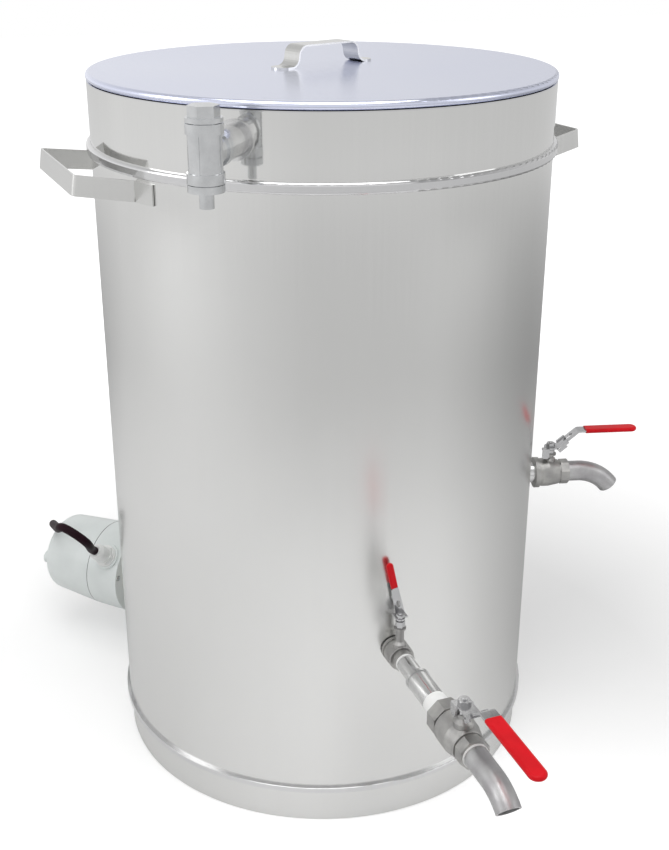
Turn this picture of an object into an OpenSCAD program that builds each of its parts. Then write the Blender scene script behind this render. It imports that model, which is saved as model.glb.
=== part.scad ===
// Wax clarifying tank: a steel vessel in a heated water jacket, with two
// ball-valve outlets, a screw-in immersion heater, an overflow tee and a lid.
// Origin on the tank's axis at the floor, +Z up, lower outlet along -Y.
// An azimuth is measured from -Y towards +X, seen from above.

/* [Tank shell] */
// Outer radius of the jacket
jacket_r = 270; // [262:1:290]
// Height of the top flange above the floor
rim_z = 856; // [846:1:900]
// Thickness of the steel sheet
sheet_t = 1.5; // [1:0.1:2.2]
// Height of the base skirt
skirt_h = 44; // [34:1:52]
// How far the skirt stands back from the jacket
skirt_inset = 2; // [1:0.5:4]
// Width of the skirt's foot flange
foot_w = 20; // [12:1:40]
// How far the floor pan's rim stands out from the jacket
pan_lip = 3.9; // [2.5:0.1:6]
// Height of the floor pan's rim
pan_rim_h = 7; // [5:0.5:10]
// Distance from the top flange down to the middle of the jacket bead
bead_drop = 74.7; // [60:0.1:90]
// Half height of the jacket bead
bead_half = 6.1; // [4:0.1:8]
// How far the jacket bead stands out
bead_out = 5; // [3.5:0.1:7]
// Rounding of the jacket bead
bead_round = 3; // [1:0.1:3.4]

/* [Inner vessel] */
// Width of the water space between jacket and vessel
water_gap = 30; // [24:1:40]
// Depth of the vessel's floor edge below the lower outlet's axis
floor_drop = 14; // [13:0.5:20]
// Rise of the vessel's conical floor at its centre
floor_rise = 12; // [6:1:20]

/* [Lid] */
// Radius of the lid's rolled edge
lid_roll_r = 4.4; // [3:0.1:6]
// How far the rolled edge's centre lies inside the jacket's surface
lid_roll_inset = 3.6; // [2:0.1:6]
// Depth of the lid's locating collar below the lid
collar_h = 28; // [15:1:40]
// Clearance between that collar and the vessel
collar_gap = 2.5; // [1.5:0.5:5]
// Clearance under the lid's edge
lid_gap = 0.2; // [0.1:0.1:0.5]
// Width of the lid handle's strap
grip_w = 26.5; // [22:1:40]
// Thickness of the lid handle's strap
grip_t = 2; // [1.5:0.1:4]
// Height of the lid handle above the lid
grip_h = 25; // [20:1:50]
// Outer distance across the lid handle's legs
grip_span = 95.5; // [90:1:140]
// Length of each foot beyond its leg
grip_foot = 25.5; // [15:1:35]
// Bend radius of the lid handle
grip_bend_r = 11; // [6:1:14]
// Place of the lid handle's middle along X
grip_x = 6; // [-20:1:20]
// Place of the lid handle's middle along Y
grip_y = 17; // [-20:1:20]
// Direction of the lid handle, from +X
grip_turn = 21; // [0:1:90]

/* [Carry handles] */
// Azimuth of the left carry handle
left_az = -86.5; // [-100:0.1:-80]
// Azimuth of the right carry handle
right_az = 97.4; // [90:0.1:110]
// Distance from the top flange down to the handles' middle
handle_drop = 93.7; // [93:0.1:130]
// Height of the handle strap
strap_h = 22.4; // [18:0.2:24]
// Thickness of the handle strap
strap_t = 2; // [2:0.5:5]
// Half distance between the handle's roots on the wall
root_half = 92; // [86:1:115]
// Half length of the grip
hold_half = 80; // [68:1:84]
// Distance of the grip's outer face from the wall
hold_out = 49; // [40:1:60]
// Length of the welded flanges
flange_l = 26; // [18:1:32]
// Upward tilt of the grip
hold_tilt = 8.6; // [0:0.1:12]

/* [Outlet pipes] */
// Height of the lower outlet's axis
lower_z = 242; // [235:1:260]
// Sideways place of the lower outlet's axis
lower_x = -12; // [-14:0.5:0]
// Height of the side outlet's axis
side_z = 333; // [310:1:380]
// Azimuth of the side outlet
side_az = 75; // [65:1:85]
// Outer radius of the half-inch pipe
thin_r = 10.65; // [10:0.05:11]
// Bore radius of the half-inch pipe
thin_bore = 8; // [7:0.1:8.6]
// Outer radius of the three-quarter-inch pipe
pipe_r = 13.45; // [13:0.05:13.6]
// Bore radius of the three-quarter-inch pipe
pipe_bore = 11; // [9:0.1:11.4]
// Length of the half-inch nipple's free stretch
thin_l = 35; // [25:1:50]
// Width of the welded collar between the two pipe sizes
collar_l = 4; // [3:0.5:6]
// Length of the three-quarter-inch nipple between collar and valve
thick_l = 64; // [40:1:90]
// Length of the sealing tape on that nipple
tape_l = 22; // [10:1:30]
// Straight stretch of the lower spout
spout_b_l = 37; // [25:1:60]
// Bend radius of the lower spout
spout_b_r = 60; // [45:1:80]
// Bend angle of the lower spout
spout_b_turn = 38; // [20:1:60]
// Straight stretch of the side spout
spout_c_l = 14; // [8:1:30]
// Bend radius of the side spout
spout_c_r = 56; // [45:1:80]
// Bend angle of the side spout
spout_c_turn = 52; // [20:1:70]

/* [Ball valves] */
// Clearance of a turning stem or ball
turn_gap = 0.05; // [0.03:0.01:0.08]
// Clearance of a welded or screwed joint
seat_gap = 0.05; // [0.02:0.01:0.1]
// Gap between the small valve and the jacket
valve_a_gap = 1.3; // [0.5:0.1:4]
// Gap between the jacket and the side valve
valve_c_gap = 14; // [8:1:25]

/* [Overflow tee] */
// Azimuth of the tee
tee_az = -38.8; // [-50:0.1:-30]
// Distance from the top flange down to the tee branch's axis
tee_drop = 29.5; // [24:0.5:40]
// Distance of the tee's axis from the jacket
tee_out = 71; // [68:1:90]
// Radius of the tee's body
tee_r = 16.5; // [16:0.1:18]
// Radius of the tee's end bands
band_r = 18.3; // [18:0.1:20]
// Length of the tee's end bands
band_l = 10; // [8:0.5:12]
// Height of the tee's run above and below the branch
tee_half = 28; // [27:0.5:32]

/* [Heater] */
// Azimuth of the heater
heater_az = -138; // [-142:1:-132]
// Height of the heater's axis
heater_z = 116.5; // [108:0.5:130]
// Outer radius of the terminal housing
house_r = 63.2; // [58:0.2:68]
// Wall of the terminal housing
house_t = 3; // [2:0.5:4]
// Gap between jacket and housing
house_gap = 39; // [32:1:45]
// Depth of the housing's base
base_l = 52; // [48:1:60]
// Depth of the housing's cap
cap_l = 87; // [75:1:95]
// Rounding of the cap's edge
cap_round = 16; // [8:1:20]
// How much the cap narrows towards its end, on the radius
cap_taper = 5.6; // [3:0.1:8]
// Radius of the thermostat knob
knob_r = 11; // [9:0.5:14]
// Height of the thermostat knob
knob_h = 22; // [15:1:30]
// Sideways place of the knob
knob_side = 20; // [10:1:30]
// Drop of the knob below the heater's axis
knob_drop = 8; // [0:1:20]
// Length of the heating elements
element_l = 320; // [200:10:400]
// Upward turn of the cable gland round the housing
gland_turn = 40; // [36:1:46]
// Distance of the gland's axis from the housing's rear face
gland_back = 23; // [20:1:30]

/* [Mains cable] */
// Diameter of the mains cable
cable_d = 12; // [9:0.5:12.5]
// Outer radius of the cable's coil, at the cable's middle
coil_r = 66; // [64:1:80]
// Radial step of one loop in the coil
coil_step = 12.7; // [12.6:0.1:14]
// Height between the coil's layers
coil_layer = 12.7; // [12.5:0.1:14]
// Loops in the coil
coil_loops = 2; // [2:2:4]

/* [Small valve] */
// Stem axis to rear face
a_back = 16; // [14:0.5:20]
// Stem axis to the step in front
a_split = 8; // [7:0.5:9]
// Stem axis to front face
a_front = 16; // [15.5:0.5:20]
// Radius of the body
a_mid_r = 15.5; // [14:0.1:17]
// Radius of the front end
a_front_r = 12.5; // [12:0.1:14]
// Radius of the ball
a_ball_r = 9; // [8.5:0.1:9.5]
// Bore radius
a_bore = 6; // [5:0.1:6.3]
// Height of the lever's underside above the axis
a_lever_z = 48.5; // [47:0.5:50.5]
// Height of the stem nut's top above the axis
a_nut_z = 56; // [55.5:0.5:60]
// Height of the lever's upper end above the axis
a_tip_z = 118; // [105:1:140]
// Width of the lever
a_lever_w = 11; // [9:0.5:13]
// Distance of the upright lever from the stem axis
a_lever_in = 10; // [9:0.5:11]
// Sideways lean of the upright lever
a_lean = 12.5; // [8:0.5:14]
// Sideways place of the upright lever's root
a_lever_side = 4; // [2:0.5:5]
// Length of the sleeve
a_grip_l = 33; // [25:1:36]
// Width of the sleeve
a_grip_w = 8.5; // [8.5:0.5:10]
// Thickness of the sleeve
a_grip_t = 5; // [4.5:0.5:5]

/* [Lower valve] */
// Stem axis to rear face
b_back = 46; // [42:1:50]
// Length of the eight-sided rear end
b_rear_l = 18; // [12:1:20]
// Half width across the rear end's flats
b_rear_r = 19.5; // [18:0.1:20.5]
// Stem axis to the end piece
b_split = 14; // [13.5:0.5:16]
// Stem axis to front face
b_front = 29; // [27:1:34]
// Radius of the body
b_mid_r = 21.5; // [20:0.1:24]
// Half width across the end piece's flats
b_front_r = 16.5; // [16:0.1:18]
// Radius of the ball
b_ball_r = 13; // [12.5:0.1:13.5]
// Bore radius
b_bore = 9.5; // [8:0.1:9.8]
// Height of the lever's underside above the axis
b_lever_z = 42; // [40:0.5:46]
// Height of the stem nut's top above the axis
b_nut_z = 51.5; // [50:0.5:58]
// Height of the sleeve's middle above the axis
b_grip_z = 67; // [58:1:80]
// Stem axis to the sleeve's near end
b_grip_x = 62; // [56:1:75]
// Length of the sleeve
b_grip_l = 96; // [80:1:120]
// Width of the sleeve
b_grip_w = 19.5; // [18:0.5:22]
// Thickness of the sleeve
b_grip_t = 6.5; // [6:0.5:8]
// Width of the lever
b_lever_w = 17.5; // [14:0.5:17.5]

/* [Side valve] */
// Stem axis to rear face
c_back = 21; // [20:0.5:26]
// Length of the round rear rim
c_rear_l = 6; // [4:0.5:8]
// Radius of the rear rim
c_rear_r = 20.5; // [19:0.1:22]
// Stem axis to the end piece
c_split = 12; // [11.5:0.5:13]
// Stem axis to front face
c_front = 25; // [24:0.5:30]
// Radius of the body
c_mid_r = 19; // [17.5:0.1:21]
// Half width across the end piece's flats
c_front_r = 15.5; // [15.2:0.1:17]
// Radius of the ball
c_ball_r = 11; // [10.5:0.1:11.4]
// Bore radius
c_bore = 8; // [7:0.1:8.3]
// Height of the lever's underside above the axis
c_lever_z = 35.5; // [34:0.5:40]
// Height of the stem nut's top above the axis
c_nut_z = 44.2; // [43:0.2:50]
// Height of the sleeve's middle above the axis
c_grip_z = 60; // [52:1:70]
// Stem axis to the sleeve's near end
c_grip_x = 45; // [42:1:55]
// Length of the sleeve
c_grip_l = 70; // [60:1:90]
// Width of the sleeve
c_grip_w = 17; // [16:0.5:19]
// Thickness of the sleeve
c_grip_t = 6; // [5.5:0.5:7]
// Width of the lever
c_lever_w = 15; // [12:0.5:15]

/* [Hidden] */
$fn = 96;

steel = [0.78, 0.79, 0.81];
cast = [0.62, 0.63, 0.64];
red = [0.80, 0.07, 0.09];
white = [0.93, 0.93, 0.91];
pale = [0.86, 0.88, 0.87];
rubber = [0.07, 0.06, 0.07];
brass = [0.75, 0.62, 0.33];

// Places that follow from the sizes above
vessel_r = jacket_r - water_gap;
pan_z = skirt_h + sheet_t;
shell_top = rim_z - sheet_t;
floor_z = lower_z - floor_drop;
lid_roll_z = rim_z + lid_gap + lid_roll_r;
lid_top = lid_roll_z + lid_roll_r;
lid_bottom = lid_top - sheet_t;
bead_z = rim_z - bead_drop;
handle_z = rim_z - handle_drop;
tee_z = rim_z - tee_drop;
tee_x = jacket_r + tee_out;

// A point's distance from the axis plane where a round wall lies, at a sideways place
function wall_at(r, side) = sqrt(r * r - side * side);
lower_wall = wall_at(jacket_r, lower_x);
a_x = lower_wall + valve_a_gap + a_back;
collar_x = a_x + a_front + thin_l;
thick_x = collar_x + collar_l;
b_x = collar_x + collar_l + thick_l + b_back;
c_x = jacket_r + valve_c_gap + c_back;
house_x = jacket_r + house_gap;
cap_x = house_x + base_l;

// Fits and small sizes shared by the three valves
ball_wall = 1;
slot_depth = 2;
slot_w = 3;
a_stem_r = 3;
b_stem_r = 4.5;
c_stem_r = 3;
a_tip_r = 2;
b_tip_r = 3;
c_tip_r = 2;
a_core_w = 6;
a_socket = 5;
b_socket = 16;
b_front_socket = 12;
c_socket = 7;
c_front_socket = 10;
a_lever_t = 2;
lever_t = 2.5;
lock_gap = 0.1;
a_taper = 0.5;
b_taper = 3.5;
c_taper = 2.5;
gland_drop = 2;
tab_y = 8.6;
b_tail = 9.5;
c_tail = 8.5;
// Each bonnet: foot radius, foot height, stalk radius, flange radius, top
a_bonnet = [7.8, a_mid_r + 1.5, 4.8, 7, 38];
b_bonnet = [11, b_mid_r + 2.5, 6.8, 8.2, 34];
c_bonnet = [7.5, c_mid_r + 1, 4.8, 8, 28];
weld_in = 2;

// Tee, heater and cable sizes that go with the ones above
thread_r = 13.2;
socket_bore = 11.5;
stub_r = 7.25;
stub_fit_r = stub_r - 0.3;
stub_bore = 5;
stub_l = 16;
stub_rim_h = 8;
plug_rim_h = 5;
branch_l = 28;
boss_r = 33;
head_r = 24;
head_l = 12;
gasket_t = 2;
neck_r = 19;
leg_r = 4.25;
leg_side = 7.5;
leg_up = 11;
pocket_r = 4;
post_r = 6;
screw_r = 2;
screw_az = 43;
seam = 0.8;
spindle_r = 3;
gland_l = 34;
gland_base = 2.5;
gland_base_r = 19;
gland_thread_r = 8;
plug_r = 18.2;
plug_x = 75;
tie_t = 0.8;

// Frames: +X outward from the wall, +Y sideways, +Z up
module at_wall(az, z) {
    translate([0, 0, z]) rotate([0, 0, az - 90]) children();
}
module lower_line(x) {
    translate([lower_x, 0, lower_z]) rotate([0, 0, -90]) translate([x, 0, 0]) children();
}
module side_line(x) {
    at_wall(side_az, side_z) translate([x, 0, 0]) children();
}
module heater_line(x) {
    at_wall(heater_az, heater_z) translate([x, 0, 0]) children();
}

// A turned length along X, and a ring of it
module rod(x0, x1, r, r2 = 0) {
    translate([x0, 0, 0]) rotate([0, 90, 0]) cylinder(h = x1 - x0, r1 = r, r2 = r2 > 0 ? r2 : r);
}
module tube(x0, x1, ro, ri) {
    difference() {
        rod(x0, x1, ro);
        rod(x0 - 1, x1 + 1, ri);
    }
}
// A prism along X with flats at distance half from its axis
module flats(x0, x1, half, sides) {
    translate([x0, 0, 0]) rotate([0, 90, 0]) rotate([0, 0, 180 / sides])
        cylinder(h = x1 - x0, r = half / cos(180 / sides), $fn = sides);
}
module post(z0, z1, r) {
    translate([0, 0, z0]) cylinder(h = z1 - z0, r = r);
}
module hex_post(z0, z1, half) {
    translate([0, 0, z0]) cylinder(h = z1 - z0, r = half / cos(30), $fn = 6);
}

// Bent strips: a path's corners are rounded, then it is given a thickness
function unit(v) = v / norm(v);
function left_of(v) = [-v[1], v[0]];
function corner(a, b, c, r, steps = 6) =
    let (u = unit(a - b), v = unit(c - b), half = acos(u * v) / 2)
    let (m = b + unit(u + v) * r / sin(half), p = b + u * r / tan(half), q = b + v * r / tan(half))
    let (t0 = atan2(p[1] - m[1], p[0] - m[0]), t1 = atan2(q[1] - m[1], q[0] - m[0]))
    let (turn = (t1 - t0 + 540) % 360 - 180)
    [for (i = [0:steps]) m + r * [cos(t0 + turn * i / steps), sin(t0 + turn * i / steps)]];
function rounded(path, r) = concat(
    [path[0]],
    [for (i = [1:1:len(path) - 2]) each corner(path[i - 1], path[i], path[i + 1], r)],
    [path[len(path) - 1]]
);
function side_step(p, i) =
    let (n = len(p))
    let (a = left_of(unit(p[max(i, 1)] - p[max(i, 1) - 1])))
    let (b = left_of(unit(p[min(i + 1, n - 1)] - p[min(i, n - 2)])))
    (a + b) / (1 + a * b);
function strip(p, t) = concat(
    [for (i = [0:len(p) - 1]) p[i] + side_step(p, i) * t / 2],
    [for (i = [len(p) - 1:-1:0]) p[i] - side_step(p, i) * t / 2]
);
// A strip bent in the X-Z plane, w wide along Y
module bent_bar(path, t, w) {
    translate([0, w / 2, 0]) rotate([90, 0, 0]) linear_extrude(w) polygon(strip(path, t));
}
// A grip with rounded edges and a round end, from x0 to x1
module slab(x0, x1, w, t) {
    module half_section() {
        translate([0, -t / 2]) square([w / 2 - t / 2, t]);
        translate([w / 2 - t / 2, 0]) circle(t / 2);
    }
    translate([x1 - w / 2, 0, 0]) rotate_extrude() intersection() {
        half_section();
        translate([0, -t]) square([w, 2 * t]);
    }
    translate([x0, 0, 0]) rotate([90, 0, 90]) linear_extrude(x1 - x0 - w / 2) {
        half_section();
        mirror([1, 0]) half_section();
    }
}

// Tank
module base_skirt() {
    skirt_r = jacket_r - skirt_inset;
    color(steel) rotate_extrude($fn = 180) {
        translate([skirt_r - sheet_t, 0]) square([sheet_t, skirt_h]);
        translate([skirt_r - foot_w, 0]) square([foot_w, sheet_t]);
    }
}
module jacket_floor() {
    rim_in = jacket_r + seat_gap;
    color(steel) rotate_extrude($fn = 180) {
        translate([0, skirt_h]) square([rim_in, sheet_t]);
        translate([rim_in, skirt_h]) square([pan_lip - seat_gap - 1, pan_rim_h]);
        translate([rim_in, skirt_h + 1]) square([pan_lip - seat_gap, pan_rim_h - 2]);
        translate([jacket_r + pan_lip - 1, skirt_h + 1]) circle(1, $fn = 24);
        translate([jacket_r + pan_lip - 1, skirt_h + pan_rim_h - 1]) circle(1, $fn = 24);
    }
}
module outer_jacket() {
    color(steel) difference() {
        rotate_extrude($fn = 180)
            translate([jacket_r - sheet_t, pan_z]) square([sheet_t, shell_top - pan_z]);
        lower_line(0) rod(vessel_r, jacket_r + 1, thin_r + seat_gap);
        side_line(0) rod(vessel_r, jacket_r + 1, pipe_r + seat_gap);
        heater_line(0) rod(vessel_r, jacket_r + 1, boss_r + seat_gap);
        at_wall(tee_az, tee_z) rod(vessel_r, jacket_r + 1, tee_r + seat_gap);
    }
}
module jacket_bead() {
    color(steel) translate([0, 0, bead_z]) rotate_extrude($fn = 180) difference() {
        union() {
            translate([jacket_r, -bead_half]) square([bead_out - bead_round, 2 * bead_half]);
            translate([jacket_r, bead_round - bead_half]) square([bead_out, 2 * (bead_half - bead_round)]);
            for (s = [-1, 1]) translate([jacket_r + bead_out - bead_round, s * (bead_half - bead_round)])
                circle(bead_round, $fn = 48);
        }
        translate([0, -2 * bead_half]) square([jacket_r + seat_gap, 4 * bead_half]);
    }
}
module inner_vessel() {
    color(steel) difference() {
        rotate_extrude($fn = 180) {
            translate([vessel_r - sheet_t, floor_z]) square([sheet_t, shell_top - floor_z]);
            polygon([[0, floor_z + floor_rise], [vessel_r, floor_z], [vessel_r, floor_z + sheet_t],
                [0, floor_z + floor_rise + sheet_t]]);
        }
        lower_line(0) rod(vessel_r - 30, jacket_r, thin_r + seat_gap);
        side_line(0) rod(vessel_r - 30, jacket_r, pipe_r + seat_gap);
    }
}
module top_flange() {
    color(steel) rotate_extrude($fn = 180)
        translate([vessel_r - sheet_t, shell_top]) square([jacket_r - vessel_r + sheet_t, sheet_t]);
}

// Carry handles: a strap on edge, its legs and grip tilted up, its flanges upright on the wall
module carry_handle(az) {
    root = wall_at(jacket_r + strap_t, root_half) - strap_t / 2;
    grip = jacket_r + hold_out - strap_t / 2;
    path = [[root, -root_half], [grip, -hold_half], [grip, hold_half], [root, root_half]];
    flange_az = asin((root_half + flange_l / 2) / jacket_r);
    color(steel) at_wall(az, handle_z) {
        translate([jacket_r, 0, 0]) rotate([0, -hold_tilt, 0])
            translate([-jacket_r, 0, -strap_h / 2]) linear_extrude(strap_h)
                polygon(strip(rounded(path, 2 * strap_t), strap_t));
        for (s = [-1, 1])
            rotate([0, 0, s * flange_az])
                translate([jacket_r + seat_gap, -flange_l / 2 - 2,
                    (root - jacket_r) * sin(hold_tilt) - strap_h / 2])
                    cube([strap_t, flange_l + 4, strap_h]);
    }
}
module carry_handle_left() carry_handle(left_az);
module carry_handle_right() carry_handle(right_az);

// Lid
module lid_plate() {
    color(steel) rotate_extrude($fn = 180) {
        translate([0, lid_bottom]) square([jacket_r - lid_roll_inset, sheet_t]);
        translate([jacket_r - lid_roll_inset, lid_roll_z]) circle(lid_roll_r, $fn = 48);
    }
}
module lid_collar() {
    collar_r = vessel_r - sheet_t - collar_gap;
    color(steel) rotate_extrude($fn = 180)
        translate([collar_r - sheet_t, lid_bottom - collar_h]) square([sheet_t, collar_h]);
}
module lid_handle() {
    low = grip_t / 2;
    leg = grip_span / 2 - grip_t / 2;
    foot = grip_span / 2 + grip_foot;
    high = grip_h - grip_t / 2;
    path = [[-foot, low], [-leg, low], [-leg + 3, high], [leg - 3, high], [leg, low], [foot, low]];
    color(steel) translate([grip_x, grip_y, lid_top]) rotate([0, 0, grip_turn]) intersection() {
        bent_bar(rounded(path, grip_bend_r), grip_t, grip_w);
        union() {
            translate([-foot + grip_w / 2, -grip_w / 2, -1]) cube([2 * foot - grip_w, grip_w, grip_h + 2]);
            for (s = [-1, 1]) translate([s * (foot - grip_w / 2), 0, 0]) post(-1, grip_h, grip_w / 2);
        }
    }
}

// Ball valve pieces: stem axis at the origin, flow along X
module valve_body(back, rear_l, rear_r, sides, mid_r, taper_in, split, ball_r, bore, stem_r, socket_r,
        socket, bonnet) {
    seat_x = ball_r + ball_wall;
    taper = 4;
    mid_x = -2;
    foot_r = bonnet[0];
    foot_z = bonnet[1];
    stalk_r = bonnet[2];
    top = bonnet[4];
    difference() {
        union() {
            if (sides > 0) flats(-back, -back + rear_l, rear_r, sides);
            else rod(-back, -back + rear_l, rear_r);
            rod(-back + rear_l, -back + rear_l + taper, min(rear_r, mid_r) - 1, mid_r);
            rod(-back + rear_l + taper, mid_x, mid_r);
            rod(mid_x, split - 0.5, mid_r, mid_r - taper_in);
            rod(split - 0.5, split, mid_r - taper_in, mid_r - taper_in - 0.5);
            post(0, foot_z, foot_r);
            translate([0, 0, foot_z]) cylinder(h = foot_r - stalk_r, r1 = foot_r, r2 = stalk_r);
            post(foot_z, top, stalk_r);
            post(top - 2, top, bonnet[3]);
        }
        rod(-back - 1, split + 1, bore);
        rod(-back - 1, -back + socket, socket_r + seat_gap);
        rod(-seat_x, split + 1, seat_x);
        post(0, top + 1, stem_r + turn_gap);
    }
}
module valve_end(split, front, half, sides, ball_r, bore, socket_r, socket) {
    seat_x = ball_r + ball_wall;
    difference() {
        union() {
            rod(split, split + 2, half - 0.5);
            if (sides > 0) flats(split + 2, front, half, sides);
            else rod(split + 2, front, half);
        }
        rod(split - 1, front + 1, bore);
        rod(front - socket, front + 1, socket_r + seat_gap);
        rod(split - 1, seat_x, seat_x);
    }
}
module valve_ball(ball_r, bore) {
    difference() {
        sphere(ball_r);
        rod(-ball_r - 1, ball_r + 1, bore);
        translate([-slot_w / 2, -ball_r, ball_r - slot_depth]) cube([slot_w, 2 * ball_r, slot_depth + 1]);
    }
}
module valve_stem(ball_r, stem_r, shoulder, tip_r, top) {
    foot = ball_r - slot_depth + turn_gap;
    intersection() {
        post(foot, ball_r + 1, stem_r);
        translate([-slot_w / 2 + turn_gap, -stem_r, foot]) cube([slot_w - 2 * turn_gap, 2 * stem_r, ball_r]);
    }
    post(ball_r + 0.5, shoulder, stem_r);
    post(shoulder - 1, top - 0.5, tip_r);
    translate([0, 0, top - 0.5]) cylinder(h = 0.5, r1 = tip_r, r2 = tip_r - 0.5);
}
module seat_pair(ball_r, bore) {
    seat_x = ball_r + ball_wall;
    near = ball_r * 0.55;
    for (s = [-90, 90]) rotate([0, s, 0]) rotate_extrude() difference() {
        translate([bore, near]) square([seat_x - seat_gap - bore, seat_x - near]);
        circle(ball_r + turn_gap);
    }
}
module stem_nut(z0, z1, half, tip_r) {
    difference() {
        intersection() {
            hex_post(z0, z1, half);
            translate([0, 0, z0]) cylinder(h = z1 - z0, r1 = half * 1.155 + 2, r2 = half * 1.04);
        }
        post(z0 - 1, z1 + 1, tip_r + seat_gap);
    }
}
// A tab bent down at the lever's side, from x0 to x1 and down to z0
module side_tab(x0, x1, z0, z1) {
    translate([0, -tab_y, 0]) rotate([90, 0, 0]) linear_extrude(lever_t)
        polygon([[x0, z1], [x0, z0 + 2], [x0 + 2, z0], [x1 - 2, z0], [x1, z0 + 2], [x1, z1]]);
    translate([x0, -tab_y - lever_t, z1 - lever_t]) cube([x1 - x0, lever_t + 4, lever_t]);
}
module flat_lever(z0, z1, x1, reach, w, tail, tip_r) {
    low = z0 + lever_t / 2;
    rise = (z1 - low) * 1.15;
    path = [[-tail, low], [x1 - rise - 4, low], [x1 - 4, z1], [reach, z1]];
    difference() {
        intersection() {
            bent_bar(rounded(path, 5), lever_t, 2 * tail);
            union() {
                post(0, z1 + 10, tail);
                translate([0, -w / 2, 0]) cube([reach - w / 2, w, z1 + 10]);
                translate([reach - w / 2, 0, 0]) post(0, z1 + 10, w / 2);
            }
        }
        post(0, z1, tip_r + seat_gap);
        translate([x1 - rise / 2 - 4, 0, 0]) {
            translate([-3, 0, 0]) post(0, z1 + 10, w / 5);
            translate([3, 0, 0]) post(0, z1 + 10, w / 5);
            translate([-3, -w / 5, 0]) cube([6, 2 * w / 5, z1 + 10]);
        }
    }
}
module sleeve(x0, length, w, t, z, strap_w, strap_t) {
    difference() {
        translate([0, 0, z]) slab(x0, x0 + length, w, t);
        translate([x0 - 1, -strap_w / 2, z - strap_t / 2])
            cube([length - 3 - strap_w / 2 + 1, strap_w, strap_t]);
        translate([x0 + length - 3 - strap_w / 2, 0, 0]) post(z - strap_t / 2, z + strap_t / 2, strap_w / 2);
    }
}
// A lock plate that slides on the lever's slope, with a hook beside the stem
module lock_plate(z0, z1, x1, w) {
    low = z0 + lever_t / 2;
    rise = (z1 - low) * 1.15;
    t = 1.5;
    half = lever_t / 2 + lock_gap;
    side = w / 2 + lock_gap;
    length = 13;
    translate([x1 - rise - 4, 0, low]) rotate([0, -atan2(z1 - low, rise), 0]) translate([3.5, 0, 0]) {
        translate([0, -side - t, -half - t]) cube([length, 2 * side + 2 * t, t]);
        for (s = [-1, 1]) {
            translate([0, s * (side + t / 2) - t / 2, -half - t]) cube([length, t, 2 * half + 2 * t]);
            translate([0, s * (side + t - 1.5) - 1.5, half]) cube([length, 3, t]);
        }
        translate([-5, -side - t, -half - t - 3]) cube([length, t, 4]);
        translate([-5, -side - t, -half - t - 3]) cube([2, t, 6]);
    }
}
// Lower outlet, from the vessel to the spout
module lower_outlet_pipe() {
    color(steel) lower_line(0)
        tube(wall_at(vessel_r - sheet_t, lower_x) - weld_in, a_x - a_back + a_socket, thin_r, thin_bore);
}
module valve_a_body() {
    color(cast) lower_line(a_x)
        valve_body(a_back, 4, a_mid_r, 0, a_mid_r, a_taper, a_split, a_ball_r, a_bore, a_stem_r, thin_r,
            a_socket, a_bonnet);
}
module valve_a_end() {
    color(cast) lower_line(a_x)
        valve_end(a_split, a_front, a_front_r, 0, a_ball_r, a_bore, thin_r, a_socket);
}
module valve_a_ball() {
    color(steel) lower_line(a_x) valve_ball(a_ball_r, a_bore);
}
module valve_a_stem() {
    color(steel) lower_line(a_x) valve_stem(a_ball_r, a_stem_r, a_lever_z, a_tip_r, a_nut_z);
}
module valve_a_nut() {
    color(steel) lower_line(a_x) stem_nut(a_lever_z + a_lever_t, a_nut_z - 1.5, 4.2, a_tip_r);
}
// The small lever turns up at once beside its stem and leans sideways
module leaning() {
    translate([-a_lever_in, a_lever_side, a_lever_z + a_lever_t / 2]) rotate([a_lean, 0, 0]) children();
}
module upright_strap() {
    upright = a_tip_z - a_lever_z;
    narrow = upright - a_grip_l - 2;
    half = a_lever_w / 2;
    core = a_core_w / 2;
    translate([-a_lever_t / 2, 0, 0]) rotate([90, 0, 90]) linear_extrude(a_lever_t)
        polygon([[-half, -0.8], [half, -0.8], [half - 1.2, narrow], [core, narrow], [core, upright - 4],
            [-core, upright - 4], [-core, narrow], [1.2 - half, narrow]]);
}
module valve_a_lever() {
    color(steel) lower_line(a_x) {
        difference() {
            union() {
                post(a_lever_z, a_lever_z + a_lever_t, a_lever_w / 2);
                translate([-a_lever_in - a_lever_t / 2, -a_lever_w / 2, a_lever_z])
                    cube([a_lever_in + a_lever_t / 2, a_lever_w + a_lever_side, a_lever_t]);
            }
            post(0, a_nut_z, a_tip_r + seat_gap);
        }
        leaning() difference() {
            upright_strap();
            for (z = [11.5, 16]) translate([0, 0, z]) rod(-5, 5, 2.25);
            translate([-5, -2.25, 11.5]) cube([10, 4.5, 4.5]);
        }
    }
}
module valve_a_sleeve() {
    upright = a_tip_z - a_lever_z;
    color(red) lower_line(a_x) leaning() difference() {
        rotate([0, -90, 0]) slab(upright - a_grip_l, upright, a_grip_w, a_grip_t);
        upright_strap();
    }
}
module half_inch_nipple() {
    color(steel) lower_line(0) tube(a_x + a_front - a_socket, collar_x, thin_r, thin_bore);
}
module reducing_nipple() {
    color(steel) lower_line(0) difference() {
        union() {
            rod(collar_x, thick_x, pipe_r + 1);
            rod(thick_x, b_x - b_back + b_socket, pipe_r);
        }
        rod(collar_x - 1, collar_x + 3, thin_bore);
        rod(collar_x + 2, b_x, pipe_bore);
    }
}
module valve_b_body() {
    color(cast) lower_line(b_x)
        valve_body(b_back, b_rear_l, b_rear_r, 8, b_mid_r, b_taper, b_split, b_ball_r, b_bore, b_stem_r,
            pipe_r, b_socket, b_bonnet);
}
module valve_b_end() {
    color(cast) lower_line(b_x)
        valve_end(b_split, b_front, b_front_r, 8, b_ball_r, b_bore, pipe_r, b_front_socket);
}
module valve_b_ball() {
    color(steel) lower_line(b_x) valve_ball(b_ball_r, b_bore);
}
module valve_b_stem() {
    color(steel) lower_line(b_x) valve_stem(b_ball_r, b_stem_r, b_lever_z, b_tip_r, b_nut_z);
}
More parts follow.
